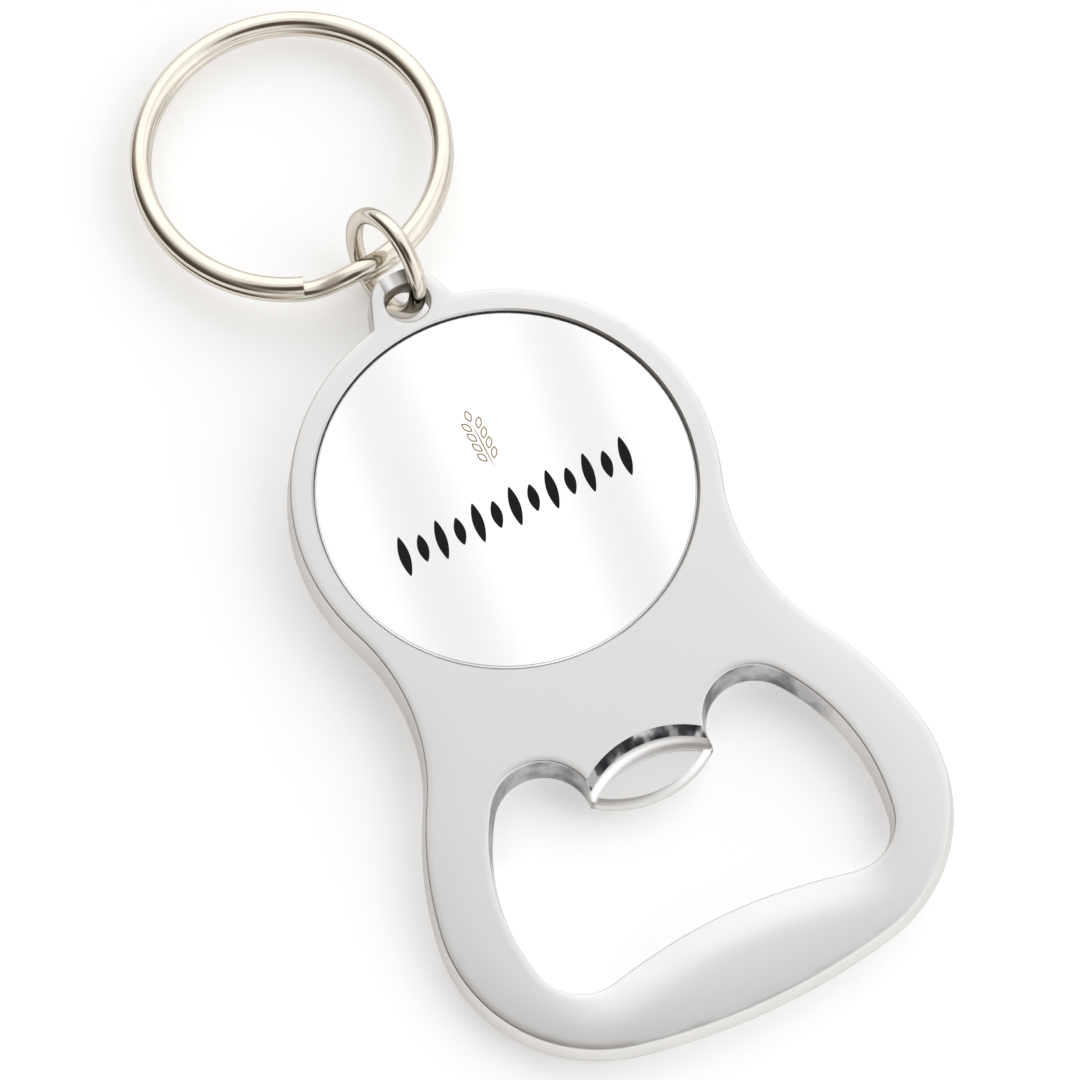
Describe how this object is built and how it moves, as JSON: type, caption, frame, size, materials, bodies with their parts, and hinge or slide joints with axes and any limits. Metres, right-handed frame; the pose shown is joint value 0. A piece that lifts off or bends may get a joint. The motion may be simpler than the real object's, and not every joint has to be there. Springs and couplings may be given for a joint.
{
  "type": "keychain bottle opener",
  "caption": "Flat cast bottle opener with a waisted outline, a crown-cap mouth with a stepped lip, a round inset badge, and a lug that carries a wire link and a split ring.",
  "frame": {"origin": "on the flat back of the body, under the centre of the badge", "axes": "+Y runs from the badge towards the lug and the split ring, +Z leaves the front face, +X runs across the body"},
  "size_m": [0.0408, 0.0908, 0.009],
  "materials": {
    "satin_chrome": "satin chrome over a casting, taken as zinc alloy, brighter on its edges",
    "polished_badge": "polished metal face with a small printed motif",
    "pad_foam": "double-sided adhesive foam",
    "nickel_wire": "polished nickel plate with a warm tone"
  },
  "bodies": {
    "opener": {"opener_body": "satin_chrome", "badge_disc": "polished_badge", "adhesive_pad": "pad_foam"},
    "link": {"link": "nickel_wire"},
    "split_ring": {"split_ring": "nickel_wire"}
  },
  "joints": [
    {"name": "link_swing", "type": "hinge", "parent": "opener", "child": "link", "pos_m": [0, 0.01953, 0.0016], "axis": [1, 0, 0], "range_deg": [-30, 12]},
    {"name": "ring_swing", "type": "hinge", "parent": "link", "child": "split_ring", "pos_m": [-0.0022, 0.02152, 0.0015], "axis": [1, 0, 0], "range_deg": [-75, 110]}
  ]
}
